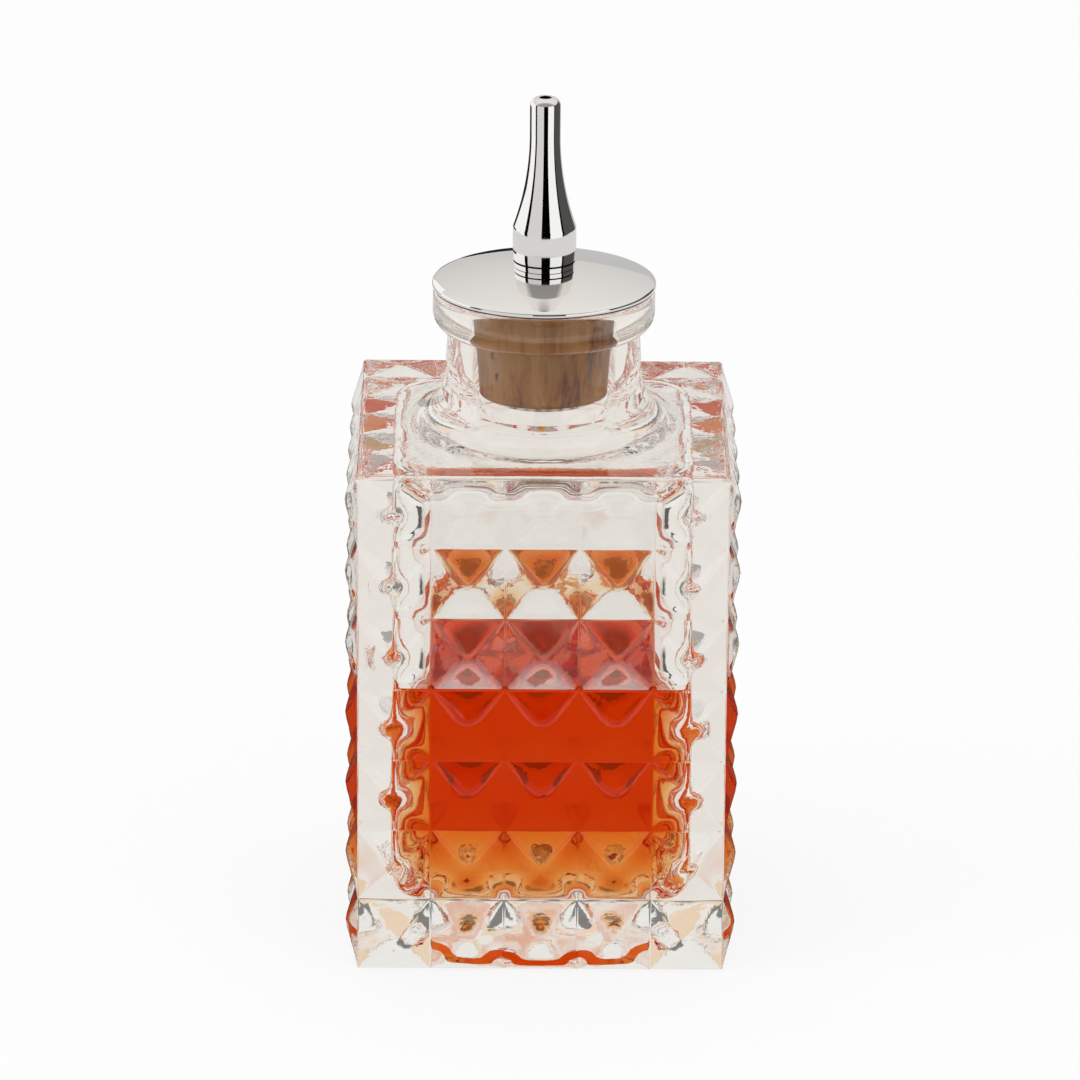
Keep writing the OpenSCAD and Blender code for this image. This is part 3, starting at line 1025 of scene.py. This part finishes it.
@dataclass
class Studio:
    """Floor, world, lamps, reflector cards and the camera of the photograph."""

    eye_distance: float = 1.179
    eye_elevation: float = 19.75
    eye_azimuth: float = -0.255
    eye_roll: float = 0.425
    aim: tuple[float, float, float] = (-0.00037, 0.0, 0.0642)
    focal_share: float = 7120 / 1080
    ambient: float = 0.75
    table_through_glass: tuple[float, float, float] = (0.84, 0.805, 0.75)
    wall_through_glass: tuple[float, float, float] = (0.87, 0.85, 0.81)
    lit_wall: tuple[float, float, float] = (0.86, 0.69, 0.50)
    # Painted light: colour, centre and size of the warm pool that the fill would throw on the floor behind the bottle,
    # seen only through glass.
    painted_light_colour: tuple[float, float, float] = (0.72, 0.24, 0.08)
    painted_light_centre: tuple[float, float, float] = (0.0, 0.044, 0.0)
    painted_light_reach: tuple[float, float, float] = (0.024, 0.020, 1.0)
    floor_gap: float = 0.1 * MM
    spout_height: float = 0.125
    cards: list[Card] = field(
        default_factory=lambda: [
            Card("dark_behind_camera", -11, 21, -15.4, 24.2, 0.0, 0.195),
            Card("grey_left", -64, -11, -15.4, 24.2, 0.70),
            Card("gap_left", -77, -64, -15.4, 24.2, 0.0),
            Card("white_left", -160, -77, -15.4, 24.2, 1.0),
            Card("dark_far_left", -180, -124, -15.4, -6.5, 0.02, 0.195),
            Card("white_right", 21, 67, -15.4, 24.2, 1.0),
            Card("gap_right", 67, 75, -15.4, 24.2, 0.0),
            Card("brown_right", 75, 143, -15.4, 24.2, 0.08),
            Card("grey_far_right", 143, 180, -15.4, 7.8, 0.55),
        ]
    )

    def camera(self) -> None:
        """Places the camera as the photograph's camera stood."""
        data = bpy.data.cameras.new("photo_camera")
        data.sensor_width = 36.0
        data.lens = self.focal_share * data.sensor_width
        data.clip_start = 0.01
        eye = bpy.data.objects.new("photo_camera", data)
        bpy.context.scene.collection.objects.link(eye)
        turn = Matrix.Rotation(math.radians(self.eye_azimuth), 4, "Z")
        tilt = Matrix.Rotation(math.radians(90 - self.eye_elevation), 4, "X")
        roll = Matrix.Rotation(math.radians(self.eye_roll), 4, "Z")
        back = Matrix.Translation((0, 0, self.eye_distance))
        eye.matrix_world = Matrix.Translation(self.aim) @ turn @ tilt @ back @ roll
        bpy.context.scene.camera = eye

    def world(self) -> None:
        """White for what is seen, graded for what metal and glass show, and a plain level for the rest."""
        world = bpy.data.worlds.new("studio")
        world.use_nodes = True
        bpy.context.scene.world = world
        tree = Tree(world.node_tree)
        path = tree.add("LightPath")
        way = tree.add("SeparateXYZ", Vector=tree.add("TexCoord").outputs["Generated"])
        back, up = way.outputs[1], way.outputs[2]
        mirrored = tree.ramp(up, [(0.0, (0.60, 0.59, 0.575)), (0.80, (0.86, 0.84, 0.81))]).outputs[0]
        room = tree.ramp(tree.maths("MULTIPLY_ADD", back, 0.5, 0.5), [(0.28, 0.4), (0.46, 1.0)]).outputs[0]
        mirrored = tree.mix(1.0, mirrored, room, "MULTIPLY")
        wall = self.wall_through_glass
        gap = tuple(0.25 * part for part in wall)
        warm = self.lit_wall
        beyond = tree.ramp(up, [(0.285, wall), (0.31, gap), (0.385, gap), (0.43, warm), (0.66, warm), (0.69, wall)])
        colour = tree.mix(path.outputs["Is Camera Ray"], (self.ambient,) * 3, (1.0, 1.0, 1.0))
        colour = tree.mix(path.outputs["Is Glossy Ray"], colour, mirrored)
        colour = tree.mix(path.outputs["Is Transmission Ray"], colour, beyond.outputs[0])
        tree.add("OutputWorld", Surface=tree.add("Background", Color=colour, Strength=1.0).outputs[0])

    def floor(self) -> None:
        """A wide white floor that keeps a soft shadow.

        Through glass it shows a painted pool of the warm light that the fill throws on it, painted shadow under the
        bottle and painted shade in front of it; mirrors see it darkened near the bottle, a painted shade of the
        bottle's own.
        """
        material = bpy.data.materials.new("white_floor")
        material.use_nodes = True
        tree = Tree(material.node_tree)
        path = tree.add("LightPath")
        place = tree.add("TexCoord").outputs["Object"]
        apart = tree.add("VectorMath", {"operation": "LENGTH"}, Vector=place).outputs["Value"]
        shade = tree.ramp(tree.maths("DIVIDE", apart, 0.4), [(0.68, 0.04), (0.73, 0.72)])
        # Painted light: a streaky warm pool on the floor behind the bottle, seen only through glass.
        patch = tree.add("Mapping", {"vector_type": "TEXTURE"}, Vector=place, Location=self.painted_light_centre, Scale=self.painted_light_reach)
        reach = tree.add("VectorMath", {"operation": "LENGTH"}, Vector=patch.outputs[0]).outputs["Value"]
        edge = tree.ramp(reach, [(0.60, 0.65), (1.0, 0.0)])
        streaks = tree.add("TexNoise", Vector=place, Scale=70.0, Detail=2.0)
        broken = tree.ramp(streaks.outputs[0], [(0.40, 0.15), (0.56, 1.0)])
        share = tree.maths("MULTIPLY", edge.outputs[0], broken.outputs[0])
        lean = tree.add("SeparateXYZ", Vector=place).outputs[1]
        # Painted shade: through glass the floor from about 0.1 m in front of the bottle, on the camera's side, is
        # dark.
        painted_shade_ahead = tree.ramp(tree.maths("MULTIPLY_ADD", lean, 2.0, 0.5), [(0.20, 0.12), (0.30, 1.0)]).outputs[0]
        # Painted shadow: through glass the floor under the bottle is darker.
        painted_shadow_under = tree.ramp(tree.maths("DIVIDE", apart, 0.05), [(0.34, 0.75), (0.42, 0.48), (0.60, 0.48), (0.66, 1.0)]).outputs[0]
        through = tree.mix(share, self.table_through_glass, self.painted_light_colour)
        through = tree.mix(1.0, through, tree.maths("MULTIPLY", painted_shade_ahead, painted_shadow_under), "MULTIPLY")
        colour = tree.mix(path.outputs["Is Glossy Ray"], (1.0, 1.0, 1.0), shade.outputs[0])
        colour = tree.mix(path.outputs["Is Transmission Ray"], colour, through)
        lit = tree.add("BsdfPrincipled", Base_Color=(0.9, 0.9, 0.9, 1.0), Roughness=0.9)
        glow = tree.add("Emission", Color=colour, Strength=1.0)
        seen = tree.maths("MULTIPLY", path.outputs["Is Camera Ray"], 0.85)
        mirrored = tree.maths("MAXIMUM", path.outputs["Is Glossy Ray"], path.outputs["Is Transmission Ray"])
        both = tree.add("MixShader")
        tree.feed(both.inputs[0], tree.maths("MAXIMUM", seen, mirrored))
        tree.feed(both.inputs[1], lit.outputs[0])
        tree.feed(both.inputs[2], glow.outputs[0])
        tree.add("OutputMaterial", Surface=both.outputs[0])
        bm = bmesh.new()
        gap = Matrix.Translation((0, 0, -self.floor_gap))
        bmesh.ops.create_circle(bm, cap_ends=True, segments=64, radius=6.0, matrix=gap)
        finish_mesh(bm, "floor", material)

    def lamps(self) -> None:
        """Two soft boxes and a top light."""
        for name, size, power, place in (
            ("left_box", 0.9, 5.5, (-1.2, -0.5, 1.0)),
            ("right_box", 0.7, 3.0, (1.0, -1.1, 0.9)),
            ("top_box", 1.0, 4.0, (0.0, 0.2, 1.6)),
        ):
            data = bpy.data.lights.new(name, "AREA")
            data.shape = "SQUARE"
            data.size = size
            data.energy = power
            lamp = bpy.data.objects.new(name, data)
            lamp.location = place
            lamp.rotation_euler = (Vector((0, 0, 0.06)) - Vector(place)).to_track_quat("-Z", "Y").to_euler()
            lamp.visible_camera = False
            lamp.visible_glossy = False
            lamp.visible_transmission = False
            bpy.context.scene.collection.objects.link(lamp)

    def reflector_cards(self) -> None:
        """Hangs the cards that draw the dark stripes in polished metal."""
        for card in self.cards:
            material = bpy.data.materials.new(card.name)
            material.use_nodes = True
            tree = Tree(material.node_tree)
            level = (card.level,) * 3
            glow = tree.add("Emission", Color=(*level, 1.0), Strength=1.0)
            tree.add("OutputMaterial", Surface=glow.outputs[0])
            bm = bmesh.new()
            start = math.radians(card.start - 90)
            low, high = (
                max(0.001, self.spout_height + card.distance * math.tan(math.radians(angle)))
                for angle in (card.low, card.high)
            )
            foot = Vector((card.distance * math.cos(start), card.distance * math.sin(start), low))
            verts = [bm.verts.new(foot), bm.verts.new(foot + Vector((0, 0, high - low)))]
            edge = bm.edges.new(verts)
            bmesh.ops.spin(
                bm,
                geom=[*verts, edge],
                cent=(0, 0, 0),
                axis=(0, 0, 1),
                dvec=(0, 0, 0),
                angle=math.radians(card.end - card.start),
                steps=16,
                use_duplicate=False,
            )
            piece = finish_mesh(bm, card.name, material)
            piece.visible_camera = False
            piece.visible_diffuse = False
            piece.visible_transmission = False
            piece.visible_shadow = False


def stand_for(piece: bpy.types.Object, node: str, body: Body) -> None:
    """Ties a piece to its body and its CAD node.

    Args:
        piece: The finished piece.
        node: The CAD node that it stands for.
        body: The body that it rides on.
    """
    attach(piece, body.value)
    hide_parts(node)
    LOG.info("%s stands for %s on %s, %d faces", piece.name, node, body.value, len(piece.data.polygons))


def dress_node(frame: dict, node: str, material: bpy.types.Material) -> None:
    """Gives a CAD node that keeps its shape a better finish."""
    frame["nodes"][node].material_slots[0].material = material
    LOG.info("%s keeps its shape", node)


def main() -> None:
    """Builds the pieces in order: glass, fill, cork, metal, studio."""
    logging.basicConfig(level=logging.INFO, format="%(name)s: %(message)s")
    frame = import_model()
    scene = bpy.context.scene
    scene.view_settings.view_transform = "Standard"
    scene.cycles.max_bounces = 48
    scene.cycles.transmission_bounces = 48
    scene.cycles.glossy_bounces = 16
    effects = Effects()
    chrome = PolishedChrome(effects).material()
    steel = PolishedChrome(effects, "turned_steel", (0.72, 0.71, 0.69), 0.16, 0.30, 0.000004).material()
    # Near-black dull metal for the spout's seam groove: painted shade.
    seam_shade = PolishedChrome(effects, "painted_seam_shade", (0.05, 0.045, 0.04), 0.5, 0.8, 0.000004).material()

    bottle = GlassBottle()
    fill = BittersFill(bottle)
    glass = PressedGlass(effects)
    bitters = AmberBitters()
    dry = glass.material()
    wet = PressedGlass(effects, "wetted_glass", ior=glass.ior / bitters.ior).material()
    stand_for(bottle.glass(dry, wet, fill.wet_height()), "glass_bottle", Body.BOTTLE)
    depth = bitters.material("bitters_depth", bends=False, absorbs=True)
    stand_for(fill.body(depth), "bitters", Body.BOTTLE)
    skin = bitters.material("bitters_skin", bends=True, absorbs=False)
    under = bitters.material("bitters_under_skin", bends=False, absorbs=False)
    stand_for(fill.surface(skin, under), "bitters", Body.BOTTLE)
    stand_for(CorkStopper().cork(NaturalCork().material()), "cork", Body.STOPPER)
    top = DasherTop()
    stand_for(top.plate(chrome), "cap_plate", Body.STOPPER)
    stand_for(top.spout(chrome, seam_shade), "spout", Body.STOPPER)
    dress_node(frame, "feed_tube", steel)
    dress_node(frame, "retaining_washer", steel)

    studio = Studio()
    studio.camera()
    studio.world()
    studio.floor()
    studio.lamps()
    studio.reflector_cards()


if __name__ == "__main__":
    main()
